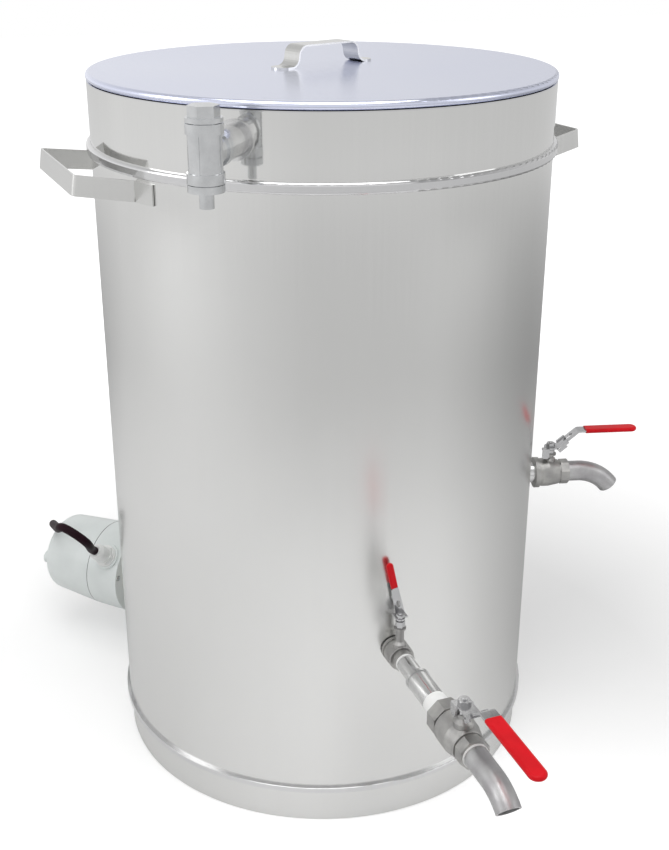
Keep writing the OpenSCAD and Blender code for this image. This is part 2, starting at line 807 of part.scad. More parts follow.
module valve_b_nut() {
    color(steel) lower_line(b_x) stem_nut(b_lever_z + lever_t, b_nut_z - 2, 6.2, b_tip_r);
}
module valve_b_lever() {
    color(steel) lower_line(b_x) {
        flat_lever(b_lever_z, b_grip_z, b_grip_x - 10, b_grip_x + b_grip_l - 3, b_lever_w, b_tail, b_tip_r);
        side_tab(-9, 2, b_lever_z - 12, b_lever_z + lever_t);
    }
}
module valve_b_sleeve() {
    color(red) lower_line(b_x)
        sleeve(b_grip_x, b_grip_l, b_grip_w, b_grip_t, b_grip_z, b_lever_w, lever_t);
}
module valve_b_lock() {
    color(cast) lower_line(b_x) lock_plate(b_lever_z, b_grip_z, b_grip_x - 10, b_lever_w);
}
module lower_spout() {
    color(steel) lower_line(b_x + b_front)
        spout(-b_front_socket, spout_b_l, spout_b_r, spout_b_turn);
}

// A spout: straight from x0 to x1, then bent down
module spout(x0, x1, r, turn) {
    tube(x0, x1, pipe_r, pipe_bore);
    translate([x1, 0, -r]) rotate([0, -90, -90]) rotate_extrude(angle = turn) translate([r, 0])
        difference() {
            circle(pipe_r);
            circle(pipe_bore);
        }
}

// Side outlet
module side_outlet_pipe() {
    color(steel) side_line(0)
        tube(vessel_r - sheet_t - weld_in, c_x - c_back + c_socket, pipe_r, pipe_bore);
}
module valve_c_body() {
    color(cast) side_line(c_x)
        valve_body(c_back, c_rear_l, c_rear_r, 0, c_mid_r, c_taper, c_split, c_ball_r, c_bore, c_stem_r,
            pipe_r, c_socket, c_bonnet);
}
module valve_c_end() {
    color(cast) side_line(c_x)
        valve_end(c_split, c_front, c_front_r, 8, c_ball_r, c_bore, pipe_r, c_front_socket);
}
module valve_c_ball() {
    color(steel) side_line(c_x) valve_ball(c_ball_r, c_bore);
}
module valve_c_stem() {
    color(steel) side_line(c_x) valve_stem(c_ball_r, c_stem_r, c_lever_z, c_tip_r, c_nut_z);
}
module valve_c_nut() {
    color(steel) side_line(c_x) stem_nut(c_lever_z + lever_t, c_nut_z - 1.5, 5, c_tip_r);
}
module valve_c_lever() {
    color(steel) side_line(c_x) {
        flat_lever(c_lever_z, c_grip_z, c_grip_x - 6, c_grip_x + c_grip_l - 3, c_lever_w, c_tail, c_tip_r);
        side_tab(-13, -4, c_lever_z - 11.5, c_lever_z + lever_t);
    }
}
module valve_c_sleeve() {
    color(red) side_line(c_x)
        sleeve(c_grip_x, c_grip_l, c_grip_w, c_grip_t, c_grip_z, c_lever_w, lever_t);
}
module valve_c_lock() {
    color(cast) side_line(c_x) lock_plate(c_lever_z, c_grip_z, c_grip_x - 6, c_lever_w);
}
module side_spout() {
    color(steel) side_line(c_x + c_front)
        spout(-c_front_socket, spout_c_l, spout_c_r, spout_c_turn);
}

// Small pieces that the three valves share in kind
module valve_seats() {
    color(white) {
        lower_line(a_x) seat_pair(a_ball_r, a_bore);
        lower_line(b_x) seat_pair(b_ball_r, b_bore);
        side_line(c_x) seat_pair(c_ball_r, c_bore);
    }
}
module gland_nut(z0, z1, half, stem_r) {
    difference() {
        hex_post(z0, z1, half);
        post(z0 - 1, z1 + 1, stem_r + turn_gap);
    }
}
module valve_gland_nuts() {
    color(steel) {
        lower_line(a_x) gland_nut(a_bonnet[4], a_lever_z - gland_drop, 5, a_stem_r);
        lower_line(b_x) gland_nut(b_bonnet[4], b_lever_z - gland_drop, 6.7, b_stem_r);
        side_line(c_x) gland_nut(c_bonnet[4], c_lever_z - gland_drop, 5.2, c_stem_r);
    }
}
module thread_tape() {
    color(white) {
        lower_line(a_x + a_front) tube(0, 3, thin_r + 0.7, thin_r + seat_gap);
        lower_line(b_x - b_back) tube(-tape_l, 0, pipe_r + 0.5, pipe_r + seat_gap);
        lower_line(b_x + b_front) tube(0, 2.5, pipe_r + 1, pipe_r + seat_gap);
    }
}

// Overflow tee
module overflow_socket() {
    color(steel) at_wall(tee_az, tee_z) difference() {
        union() {
            rod(jacket_r - 8, tee_x - branch_l, tee_r);
            intersection() {
                rod(jacket_r - 8, jacket_r + 3, tee_r + 4);
                translate([0, 0, -50]) difference() {
                    cylinder(h = 100, r = jacket_r + 3);
                    cylinder(h = 100, r = jacket_r + seat_gap);
                }
            }
            rod(tee_x - branch_l - 1, tee_x - branch_l + band_l - 1, thread_r - seat_gap);
        }
        rod(0, tee_x, socket_bore);
    }
}
module tee_fitting() {
    color(cast) at_wall(tee_az, tee_z) translate([tee_x, 0, 0]) difference() {
        union() {
            post(-tee_half, tee_half, tee_r);
            for (z = [-tee_half, tee_half - band_l]) post(z, z + band_l, band_r);
            rod(-branch_l, 0, tee_r);
            rod(-branch_l, -branch_l + band_l, band_r);
            for (a = [-90:90:90]) rotate([0, 0, a])
                translate([tee_r - 1, -1.5, -tee_half]) cube([1.8, 3, 2 * tee_half]);
        }
        post(-tee_half - 1, tee_half + 1, socket_bore);
        for (z = [-tee_half - 1, tee_half - band_l]) post(z, z + band_l + 1, thread_r);
        rod(-branch_l - 1, 0, socket_bore);
        rod(-branch_l - 1, -branch_l + band_l, thread_r);
    }
}
module tee_plug() {
    color(cast) at_wall(tee_az, tee_z) translate([tee_x, 0, tee_half]) {
        post(-band_l + 1, 0, thread_r - seat_gap);
        post(-2, seam, thread_r - seat_gap);
        post(seam, plug_rim_h, band_r - 0.4);
        hex_post(plug_rim_h, plug_rim_h + 11, 13.4);
    }
}
module tee_stub() {
    color(cast) at_wall(tee_az, tee_z) translate([tee_x, 0, -tee_half]) {
        difference() {
            union() {
                post(-seam - 1, band_l - 1, thread_r - seat_gap);
                post(-stub_rim_h, -seam, band_r - 0.3);
            }
            post(-stub_rim_h - 1, band_l, stub_fit_r + seat_gap);
        }
        difference() {
            union() {
                post(-stub_rim_h - stub_l, -stub_rim_h, stub_r);
                post(-stub_rim_h - 1, band_l - 2, stub_fit_r);
            }
            post(-stub_rim_h - stub_l - 1, band_l, stub_bore);
        }
    }
}

// Immersion heater
module heater_boss() {
    color(steel) heater_line(0) difference() {
        rod(jacket_r - 8, house_x - head_l - gasket_t, boss_r);
        rod(jacket_r - 9, house_x, head_r + seat_gap);
    }
}
module heater_head() {
    color(brass) heater_line(0) difference() {
        union() {
            rod(jacket_r - 8, house_x - head_l, head_r);
            tube(house_x - head_l - gasket_t, house_x - head_l, boss_r - 1, head_r - 1);
            flats(house_x - head_l, house_x, 30, 6);
            rod(house_x, house_x + house_t + 3, neck_r);
        }
        for (a = [0:120:240]) rotate([a, 0, 0]) for (s = [-1, 1])
            translate([0, s * leg_side, leg_up]) rod(jacket_r - 9, house_x + 20, leg_r + seat_gap);
        rod(jacket_r - 9, house_x + 20, pocket_r + seat_gap);
    }
}
module heating_elements() {
    color(steel) heater_line(0) for (a = [0:120:240]) rotate([a, 0, 0]) {
        far = jacket_r - element_l;
        for (s = [-1, 1]) translate([0, s * leg_side, leg_up]) rod(far, house_x + house_t + 3, leg_r);
        translate([far, 0, leg_up]) rotate([0, 0, 90]) rotate_extrude(angle = 180)
            translate([leg_side, 0]) circle(leg_r, $fn = 32);
    }
    color(steel) heater_line(0) rod(jacket_r - element_l * 0.7, house_x + house_t + 3, pocket_r);
}
module screw_posts(x0, x1, r) {
    for (a = [screw_az:120:screw_az + 240]) rotate([a, 0, 0]) translate([0, 0, house_r - house_t - post_r + 1]) rod(x0, x1, r);
}
module housing_base() {
    color(pale) heater_line(0) difference() {
        union() {
            tube(house_x, cap_x - seam, house_r, house_r - house_t);
            rod(house_x, house_x + house_t, house_r - 1);
            screw_posts(house_x, cap_x - seam, post_r);
            translate([house_x + gland_back, 0, 0]) rotate([gland_turn - 90, 0, 0])
                post(house_r - 12, house_r + gland_base, gland_base_r);
        }
        rod(house_x + house_t, cap_x, 20);
        rod(house_x - 1, cap_x, neck_r + seat_gap);
        screw_posts(house_x - 1, cap_x + 1, screw_r + seat_gap);
        screw_posts(house_x - 1, house_x + 8, screw_r + 2.3);
        translate([house_x + gland_back, 0, 0]) rotate([gland_turn - 90, 0, 0]) {
            post(0, house_r + gland_base + 1, gland_thread_r + seat_gap);
            post(0, house_r - 8, gland_base_r);
        }
    }
}
module housing_cap() {
    nose = house_r - cap_taper;
    module puck(r0, r1, length, round) {
        polygon([[0, 0], [r0, 0], [r1, length - round], [r1 - round, length], [0, length]]);
        translate([r1 - round, length - round]) intersection() {
            circle(round);
            square(round + 1);
        }
    }
    color(pale) heater_line(cap_x) difference() {
        union() {
            rotate([0, 90, 0]) difference() {
                rotate_extrude() puck(house_r, nose, cap_l, cap_round);
                translate([0, 0, -0.01]) rotate_extrude()
                    puck(house_r - house_t, nose - house_t, cap_l - house_t, cap_round - house_t);
            }
            translate([-cap_x, 0, 0]) screw_posts(cap_x, cap_x + 18, post_r);
            translate([0, knob_side, -knob_drop]) rod(cap_l - house_t - 1, cap_l + 1, knob_r + 3);
        }
        translate([-cap_x, 0, 0]) screw_posts(cap_x - 1, cap_x + 16, screw_r + seat_gap);
        translate([0, knob_side, -knob_drop]) rod(cap_l - 20, cap_l + 10, spindle_r + turn_gap);
    }
}
module thermostat_body() {
    color(white) {
        heater_line(house_x + house_t + 3) difference() {
            rod(0, 14, neck_r - 1);
            for (a = [0:60:300]) rotate([a, 0, 0]) translate([0, 0, neck_r * 0.65]) rod(6, 15, 2.5);
        }
        heater_line(cap_x) translate([0, knob_side, -knob_drop]) difference() {
            translate([cap_l - house_t - 1 - 38, -14, -14]) cube([38, 28, 28]);
            rod(cap_l - 20, cap_l + 10, spindle_r + turn_gap);
        }
    }
}
module thermostat_knob() {
    face = cap_l + 1 + lid_gap;
    color(pale) heater_line(cap_x) translate([0, knob_side, -knob_drop]) {
        rod(cap_l - 18, face + 1, spindle_r);
        difference() {
            union() {
                rod(face, face + knob_h - 2, knob_r, knob_r - 1);
                rod(face + knob_h - 2, face + knob_h, knob_r - 1, knob_r - 3);
            }
            for (a = [0:30:330]) rotate([a, 0, 0])
                translate([0, 0, knob_r + 0.6]) rod(face + 3, face + knob_h, 1.3);
            translate([face + knob_h - 0.6, -0.6, 0]) cube([2, 1.2, knob_r]);
        }
    }
}
module housing_screws() {
    color(steel) heater_line(0) {
        screw_posts(house_x + 2, cap_x + 12, screw_r);
        difference() {
            screw_posts(house_x + 5, house_x + 8, screw_r + 2.2);
            for (a = [screw_az:120:screw_az + 240]) rotate([a, 0, 0])
                translate([house_x + 4, -0.5, house_r - house_t - post_r - 3]) cube([2, 1, 8]);
        }
    }
}
module cable_gland() {
    color(white) heater_line(house_x + gland_back) rotate([gland_turn - 90, 0, 0]) difference() {
        union() {
            post(house_r - 8, house_r + gland_base, gland_thread_r);
            post(house_r + gland_base, house_r + gland_base + 2.5, gland_base_r - 3);
            hex_post(house_r + gland_base + 2.5, house_r + gland_base + 9, 12.5);
            post(house_r + gland_base + 9, house_r + gland_l - 6, 11.8);
            translate([0, 0, house_r + gland_l - 6]) cylinder(h = 6, r1 = 11.8, r2 = 8.5);
        }
        post(0, house_r + gland_l + 1, cable_d / 2 + turn_gap);
    }
}

// Mains cable: a smooth curve that its route's points steer
function heater_point(p) =
    let (a = heater_az - 90)
    [p[0] * cos(a) - p[1] * sin(a), p[0] * sin(a) + p[1] * cos(a), heater_z + p[2]];
function gland_point(q) = heater_point([house_x + gland_back, q * cos(gland_turn), q * sin(gland_turn)]);
function spline_point(a, b, c, d, u) =
    (pow(1 - u, 3) * a + (3 * pow(u, 3) - 6 * u * u + 4) * b + (-3 * pow(u, 3) + 3 * u * u + 3 * u + 1) * c
    + pow(u, 3) * d) / 6;
function spline(p, steps) =
    let (n = len(p), q = concat([2 * p[0] - p[1]], p, [2 * p[n - 1] - p[n - 2]]))
    concat(
        [for (i = [1:n - 1], j = [0:steps - 1]) spline_point(q[i - 1], q[i], q[i + 1], q[i + 2], j / steps)],
        [p[n - 1]]
    );
function tangent(c, i) = unit(c[min(i + 1, len(c) - 1)] - c[max(i - 1, 0)]);
function across(v, t) = unit(v - (v * t) * t);
function frames(c, v) = [for (i = 0, a = across(v, tangent(c, 0)); i < len(c);
    i = i + 1, a = i < len(c) ? across(a, tangent(c, i)) : a) a];
module swept(c, r, sides, v) {
    n = len(c);
    a = frames(c, v);
    points = [for (i = [0:n - 1], s = [0:sides - 1])
        c[i] + r * (cos(360 * s / sides) * a[i] + sin(360 * s / sides) * cross(tangent(c, i), a[i]))];
    walls = [for (i = [0:n - 2], s = [0:sides - 1]) let (k = i * sides, s1 = (s + 1) % sides)
        each [[k + s, k + sides + s, k + s1], [k + s1, k + sides + s, k + sides + s1]]];
    ends = concat(
        [for (s = [1:sides - 2]) [0, s, s + 1]],
        [for (s = [1:sides - 2]) [(n - 1) * sides, (n - 1) * sides + s + 1, (n - 1) * sides + s]]
    );
    polyhedron(points, concat(walls, ends), convexity = 10);
}
cable_z = cable_d / 2 + 1;
coil_x = 0;
coil_y = 350;
coil_in = [coil_x - cable_d, coil_y + coil_r, cable_z];
cable_route = [
    gland_point(house_r - 6),
    gland_point(house_r + gland_l / 2),
    gland_point(house_r + gland_l),
    gland_point(house_r + gland_l + 13),
    [-290, 154, 214], [-313, 157, 237], [-327, 181, 238], [-324, 197, 219],
    [-322, 313, 180], [-302, 413, 109], [-247, 416, 61], [-196, 409, 42],
    [-157, 401, 28], [-119, 400, 20], [-75, 410, 8], [-45, coil_y + coil_r, cable_z],
    [coil_x - 2 * cable_d - 5, coil_y + coil_r, cable_z],
    coil_in
];
// The coil goes in and out again in two layers, climbing in the half turn between
function coil_point(u) =
    let (half = coil_loops / 2, r = coil_r - coil_step * min(u, coil_loops - u))
    let (climb = min(max(2 * (u - half) + 0.5, 0), 1), a = 90 - 360 * u)
    [coil_x + r * cos(a), coil_y + r * sin(a), cable_z + coil_layer * (1 - cos(180 * climb)) / 2];
lead_z = plug_r + 0.2;
coil_top = cable_z + coil_layer;
coil_route = concat(
    [coil_in],
    [for (i = [0:24 * coil_loops]) coil_point(i / 24)],
    [[coil_x + cable_d, coil_y + coil_r, coil_top], [coil_x + 25, coil_y + coil_r, coil_top],
        [coil_x + 40, coil_y + coil_r, (coil_top + lead_z) / 2],
        [coil_x + 55, coil_y + coil_r, lead_z], [plug_x - cable_d, coil_y + coil_r, lead_z],
        [plug_x, coil_y + coil_r, lead_z]]
);
coil_pairs = [for (i = [0:len(coil_route) - 1], j = [i + 6:1:len(coil_route) - 1])
    norm(coil_route[i] - coil_route[j]) - cable_d];
echo(least_gap_in_coil = min(coil_pairs));
function run_length(c) = [for (i = [0:len(c) - 2]) norm(c[i + 1] - c[i])] * [for (i = [0:len(c) - 2]) 1];
echo(cable_length = run_length(spline(cable_route, 4)) + run_length(coil_route));

module mains_cable() {
    color(rubber) swept(spline(cable_route, 3), cable_d / 2, 8, [0.3, -0.2, 1]);
}
module cable_coil() {
    color(rubber) swept(coil_route, cable_d / 2, 6, [0, 0, 1]);
}
module plug() {
    color(rubber) translate([plug_x, coil_y + coil_r, lead_z]) {
        rod(0, 30, cable_d / 2 + 1.5, 9);
        rod(30, 36, 12, 16);
        rod(36, 58, 16, plug_r);
        rod(58, 68, plug_r);
    }
    color(steel) translate([plug_x + 68, coil_y + coil_r, lead_z]) for (s = [-1, 1])
        translate([0, s * 9.5, 0]) {
            rod(0, 18, 2.4);
            rod(18, 19, 2.4, 1.6);
        }
}
module rounded_box(half_w, half_h, r) {
    square([2 * (half_w - r), 2 * half_h], center = true);
    square([2 * half_w, 2 * (half_h - r)], center = true);
    for (x = [-1, 1], z = [-1, 1]) translate([x * (half_w - r), z * (half_h - r)]) circle(r, $fn = 32);
}
module coil_tie() {
    half_w = coil_step * (coil_loops / 4 - 0.25) + cable_d / 2 + 0.3;
    half_h = coil_layer / 2 + cable_d / 2 + 0.1;
    mid = coil_r - coil_step * coil_loops / 4;
    color(rubber) translate([coil_x - mid, coil_y - 2, (cable_z + coil_top) / 2]) rotate([90, 0, 0])
        translate([0, 0, -4]) linear_extrude(4) difference() {
            rounded_box(half_w + tie_t, half_h + tie_t, 4 + tie_t);
            rounded_box(half_w, half_h, 4);
        }
}

base_skirt();
jacket_floor();
outer_jacket();
jacket_bead();
inner_vessel();
top_flange();
carry_handle_left();
carry_handle_right();
lid_plate();
lid_collar();
lid_handle();
lower_outlet_pipe();
valve_a_body();
valve_a_end();
valve_a_ball();
valve_a_stem();
valve_a_nut();
valve_a_lever();
valve_a_sleeve();
half_inch_nipple();
reducing_nipple();
valve_b_body();
valve_b_end();
valve_b_ball();
valve_b_stem();
valve_b_nut();
valve_b_lever();
valve_b_sleeve();
valve_b_lock();
lower_spout();
side_outlet_pipe();
valve_c_body();
valve_c_end();
valve_c_ball();
valve_c_stem();
valve_c_nut();
valve_c_lever();
valve_c_sleeve();
valve_c_lock();
side_spout();
valve_seats();
valve_gland_nuts();
thread_tape();
overflow_socket();
tee_fitting();
tee_plug();
tee_stub();
heater_boss();
heater_head();
heating_elements();
housing_base();
housing_cap();
thermostat_body();
thermostat_knob();
housing_screws();
cable_gland();
mains_cable();
cable_coil();
coil_tie();
plug();
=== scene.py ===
"""Looks of the wax clarifying tank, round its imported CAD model. Metres, +Z up, lower outlet along -Y."""
import math

import bmesh
import bpy
from mathutils import Matrix, Vector


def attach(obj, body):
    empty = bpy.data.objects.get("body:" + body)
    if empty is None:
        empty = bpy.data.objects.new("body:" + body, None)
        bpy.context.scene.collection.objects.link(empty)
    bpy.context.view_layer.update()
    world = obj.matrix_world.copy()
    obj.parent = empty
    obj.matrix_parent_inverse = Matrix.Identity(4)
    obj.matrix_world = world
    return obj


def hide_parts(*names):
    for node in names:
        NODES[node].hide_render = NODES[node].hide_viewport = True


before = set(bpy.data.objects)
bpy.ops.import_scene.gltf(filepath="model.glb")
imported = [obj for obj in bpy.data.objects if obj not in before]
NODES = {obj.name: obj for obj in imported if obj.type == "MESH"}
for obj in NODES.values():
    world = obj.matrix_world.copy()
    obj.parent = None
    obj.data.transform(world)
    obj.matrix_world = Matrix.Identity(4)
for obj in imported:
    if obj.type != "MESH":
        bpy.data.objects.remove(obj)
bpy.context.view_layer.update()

CAMERA_LENS = 52.65
CAMERA_SENSOR = 36
CAMERA_REACH = 50
CAMERA_PLACE = (-0.51130, -1.39493, 1.04809)
CAMERA_RIGHT = Vector((0.93574448, -0.35267114, 0.00230913))
CAMERA_UP = Vector((0.13656838, 0.36837876, 0.91959022))
CAMERA_BACK = -Vector((0.32516356, 0.86018612, -0.39287211))


def make_camera():
    """Camera at the photograph's place and angle."""
    data = bpy.data.cameras.new("camera")
    data.lens = CAMERA_LENS
    data.sensor_width = CAMERA_SENSOR
    data.clip_end = CAMERA_REACH
    camera = bpy.data.objects.new("camera", data)
    bpy.context.scene.collection.objects.link(camera)
    turn = Matrix((CAMERA_RIGHT, CAMERA_UP, CAMERA_BACK)).transposed()
    camera.matrix_world = Matrix.Translation(CAMERA_PLACE) @ turn.to_4x4()
    bpy.context.scene.camera = camera


make_camera()

# Mains cable: the route of the CAD solid, in metres
CABLE_R = 0.006
CABLE_Z = CABLE_R + 0.001
HEATER_Z = 0.1165
HEATER_TURN = math.radians(-228)
GLAND_ALONG = 0.332
GLAND_TURN = math.radians(40)
# Distances from the heater's axis at which the cable passes on its way out of the gland
GLAND_REACHES = (0.0572, 0.0802, 0.0972, 0.1102)
COIL_Y = 0.35
COIL_R = 0.066
COIL_STEP = 0.0127
COIL_LOOPS = 2
COIL_STEPS = 36
LEAD_Z = 0.0184
# Places along X where the outer end of the coil starts, crosses and ends its step down to the plug
LEAD_STEP = (0.025, 0.04, 0.055)
PLUG_X = 0.075
SPAN_STEPS = 6

# Seal between the halves of the heater's housing, measured from the tank's axis
SEAL_R = 0.0632
SEAL_DEPTH = 0.0024
SEAL_ENDS = (0.36024, 0.36096)
SEAL_STEPS = 96


def gland_point(reach):
    """Point on the gland's axis at a distance from the heater's axis."""
    side, up = reach * math.cos(GLAND_TURN), reach * math.sin(GLAND_TURN)
    x = GLAND_ALONG * math.cos(HEATER_TURN) - side * math.sin(HEATER_TURN)
    y = GLAND_ALONG * math.sin(HEATER_TURN) + side * math.cos(HEATER_TURN)
    return Vector((x, y, HEATER_Z + up))


COIL_IN = Vector((-2 * CABLE_R, COIL_Y + COIL_R, CABLE_Z))
ROUTE = [gland_point(reach) for reach in GLAND_REACHES] + [Vector(p) for p in (
    (-0.290, 0.154, 0.214), (-0.313, 0.157, 0.237), (-0.327, 0.181, 0.238), (-0.324, 0.197, 0.219),
    (-0.322, 0.313, 0.180), (-0.302, 0.413, 0.109), (-0.247, 0.416, 0.061), (-0.196, 0.409, 0.042),
    (-0.157, 0.401, 0.028), (-0.119, 0.400, 0.020), (-0.075, 0.410, 0.008),
    (-0.045, COIL_Y + COIL_R, CABLE_Z), (-0.029, COIL_Y + COIL_R, CABLE_Z))] + [COIL_IN]


def smooth_line(points):
    """Points of the cubic B-spline that the route steers."""
    guides = [2 * points[0] - points[1], *points, 2 * points[-1] - points[-2]]
    line = []
    for a, b, c, d in zip(guides, guides[1:], guides[2:], guides[3:]):
        for step in range(SPAN_STEPS):
            u = step / SPAN_STEPS
            line.append(((1 - u) ** 3 * a + (3 * u ** 3 - 6 * u * u + 4) * b
                         + (-3 * u ** 3 + 3 * u * u + 3 * u + 1) * c + u ** 3 * d) / 6)
    return line + [points[-1]]


def coil_line():
    """The coil goes in and out again in two layers, climbing in the half turn between."""
    line = []
    for i in range(COIL_STEPS * COIL_LOOPS + 1):
        turn = i / COIL_STEPS
        r = COIL_R - COIL_STEP * min(turn, COIL_LOOPS - turn)
        climb = min(max(2 * turn - COIL_LOOPS + 0.5, 0), 1)
        angle = math.radians(90 - 360 * turn)
        z = CABLE_Z + COIL_STEP * (1 - math.cos(math.pi * climb)) / 2
        line.append(Vector((r * math.cos(angle), COIL_Y + r * math.sin(angle), z)))
    return line


def make_cable(material):
    """Smooth mains lead in place of the two CAD solids of the cable."""
    y, top = COIL_Y + COIL_R, CABLE_Z + COIL_STEP
    start, middle, end = LEAD_STEP
    lead = [Vector(p) for p in ((2 * CABLE_R, y, top), (start, y, top), (middle, y, (top + LEAD_Z) / 2),
                                (end, y, LEAD_Z), (PLUG_X - 2 * CABLE_R, y, LEAD_Z), (PLUG_X, y, LEAD_Z))]
    line = smooth_line(ROUTE) + coil_line() + lead
    data = bpy.data.curves.new("mains_lead", "CURVE")
    data.dimensions = "3D"
    data.bevel_depth = CABLE_R
    data.bevel_resolution = 6
    data.use_fill_caps = True
    spline = data.splines.new("POLY")
    spline.points.add(len(line) - 1)
    for point, place in zip(spline.points, line):
        point.co = (*place, 1)
    spline.use_smooth = True
    cable = bpy.data.objects.new("mains_lead", data)
    bpy.context.scene.collection.objects.link(cable)
    data.materials.append(material)
    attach(cable, "tank")
    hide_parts("mains_cable", "cable_coil")


def make_seal(material):
    """Dark seal that fills the seam between the two halves of the heater's housing."""
    around = Matrix.Rotation(HEATER_TURN, 4, "Z")
    near, far = SEAL_ENDS
    profile = ((SEAL_R, near), (SEAL_R, far), (SEAL_R - SEAL_DEPTH, far), (SEAL_R - SEAL_DEPTH, near))
    data = bpy.data.meshes.new("housing_seal")
    made = bmesh.new()
    rings = []
    for i in range(SEAL_STEPS):
        a = math.tau * i / SEAL_STEPS
        ring = []
        for r, x in profile:
            ring.append(made.verts.new(around @ Vector((x, r * math.cos(a), HEATER_Z + r * math.sin(a)))))
        rings.append(ring)
    for ring, after in zip(rings, rings[1:] + rings[:1]):
        for k in range(len(profile)):
            made.faces.new((ring[k], ring[k - 3], after[k - 3], after[k]))
    bmesh.ops.recalc_face_normals(made, faces=made.faces)
    made.to_mesh(data)
    made.free()
    seal = bpy.data.objects.new("housing_seal", data)
    bpy.context.scene.collection.objects.link(seal)
    paint(seal, material)
    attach(seal, "tank")


def new_material(name):
    material = bpy.data.materials.new(name)
    material.use_nodes = True
    return material, material.node_tree, material.node_tree.nodes["Principled BSDF"]


class Maker:
    """Adds and joins the nodes of one material."""

    def __init__(self, tree):
        self.tree = tree

    def node(self, kind, **settings):
        made = self.tree.nodes.new("ShaderNode" + kind)
        for key, value in settings.items():
            setattr(made, key, value)
        return made

    def join(self, a, b):
        self.tree.links.new(a, b)

    def place(self, stretch=(1, 1, 1)):
        coordinates = self.node("TexCoord")
        mapping = self.node("Mapping")
        mapping.inputs["Scale"].default_value = stretch
        self.join(coordinates.outputs["Object"], mapping.inputs["Vector"])
        return mapping.outputs["Vector"]

    def noise(self, scale, detail=3, stretch=(1, 1, 1), rough=0.5):
        made = self.node("TexNoise")
        made.inputs["Scale"].default_value = scale
        made.inputs["Detail"].default_value = detail
        made.inputs["Roughness"].default_value = rough
        self.join(self.place(stretch), made.inputs["Vector"])
        return made.outputs["Fac"]

    def span(self, value, low, high, out_low, out_high):
        made = self.node("MapRange")
        for key, number in zip(("From Min", "From Max", "To Min", "To Max"), (low, high, out_low, out_high)):
            made.inputs[key].default_value = number
        self.join(value, made.inputs["Value"])
        return made.outputs["Result"]

    def blend(self, factor, a, b):
        made = self.node("Mix", data_type="RGBA")
        self.join(factor, made.inputs["Factor"])
        for key, colour in (("A", a), ("B", b)):
            socket = [s for s in made.inputs if s.name == key and s.type == "RGBA"][0]
            socket.default_value = (*colour, 1)
        return [s for s in made.outputs if s.type == "RGBA"][0]

    def math(self, operation, a, b):
        made = self.node("Math", operation=operation)
        for socket, value in zip(made.inputs, (a, b)):
            if isinstance(value, (int, float)):
                socket.default_value = value
            else:
                self.join(value, socket)
        return made.outputs["Value"]

    def bump(self, shader, height, distance, strength=1.0, after=None):
        made = self.node("Bump")
        made.inputs["Distance"].default_value = distance
        made.inputs["Strength"].default_value = strength
        self.join(height, made.inputs["Height"])
        if after is not None:
            self.join(after, made.inputs["Normal"])
        self.join(made.outputs["Normal"], shader.inputs["Normal"])
        return made.outputs["Normal"]

    def mix_shader(self, factor, a, b):
        made = self.node("MixShader")
        self.join(factor, made.inputs["Fac"])
        self.join(a, made.inputs[1])
        self.join(b, made.inputs[2])
        return made.outputs["Shader"]


# Range in which a noise's value mostly lies
NOISE_RANGE = (0.3, 0.7)
NOISE_MIDDLE = (0.35, 0.65)

# Sheet steel: the heights between which its polish changes, and the depth of its rolling streaks
POLISH_HEIGHTS = (0.45, 0.75)
STREAK_DEPTH = 0.00001


def sheet_steel(name, colour, dark, low_rough, high_rough, wave=0.0006, streak=(1, 1, 0.02), polish=1.0):
    """Cold-rolled sheet: soft patches, rolling streaks, slight waves, and a brighter polish higher up."""
    material, tree, shader = new_material(name)
    make = Maker(tree)
    patches = make.noise(3.2, 2)
    streaks = make.noise(260, 2, streak)
    tone = make.math("ADD", make.math("MULTIPLY", patches, 0.7), make.math("MULTIPLY", streaks, 0.3))
    make.join(make.blend(make.span(tone, *NOISE_RANGE, 0, 1), dark, colour), shader.inputs["Base Color"])
    split = make.node("SeparateXYZ")
    make.join(make.place(), split.inputs[0])
    height = make.span(split.outputs["Z"], *POLISH_HEIGHTS, 1, polish)
    rough = make.span(tone, *NOISE_RANGE, low_rough, high_rough)
    make.join(make.math("MULTIPLY", rough, height), shader.inputs["Roughness"])
    shader.inputs["Metallic"].default_value = 1
    waves = make.bump(shader, make.noise(5, 1), wave * 4, 0.5)
    make.bump(shader, streaks, STREAK_DEPTH, 0.4, waves)
    return material


def cast_metal(name, colour, dark, roughness, grain=0.00012):
    """Sand- or investment-cast metal: a fine grain with darker hollows."""
    material, tree, shader = new_material(name)
    make = Maker(tree)
    fine = make.noise(900, 3, rough=0.6)
    broad = make.noise(60, 3)
    make.join(make.blend(make.span(broad, *NOISE_MIDDLE, 0, 1), dark, colour), shader.inputs["Base Color"])
    make.join(make.span(fine, *NOISE_RANGE, roughness - 0.08, roughness + 0.1), shader.inputs["Roughness"])
    shader.inputs["Metallic"].default_value = 1
    make.bump(shader, fine, grain, 0.7)
    return material


def turned_metal(name, colour, dark, roughness):
    """Drawn pipe and turned pieces: fine marks along and across, and slight stains."""
    material, tree, shader = new_material(name)
    make = Maker(tree)
    marks = make.noise(700, 2, (1, 0.15, 0.4))
    stains = make.noise(40, 4)
    make.join(make.blend(make.span(stains, *NOISE_MIDDLE, 0, 1), dark, colour), shader.inputs["Base Color"])
    make.join(make.span(marks, *NOISE_RANGE, roughness - 0.07, roughness + 0.07), shader.inputs["Roughness"])
    shader.inputs["Metallic"].default_value = 1
    make.bump(shader, marks, 0.00003, 0.5)
    return material


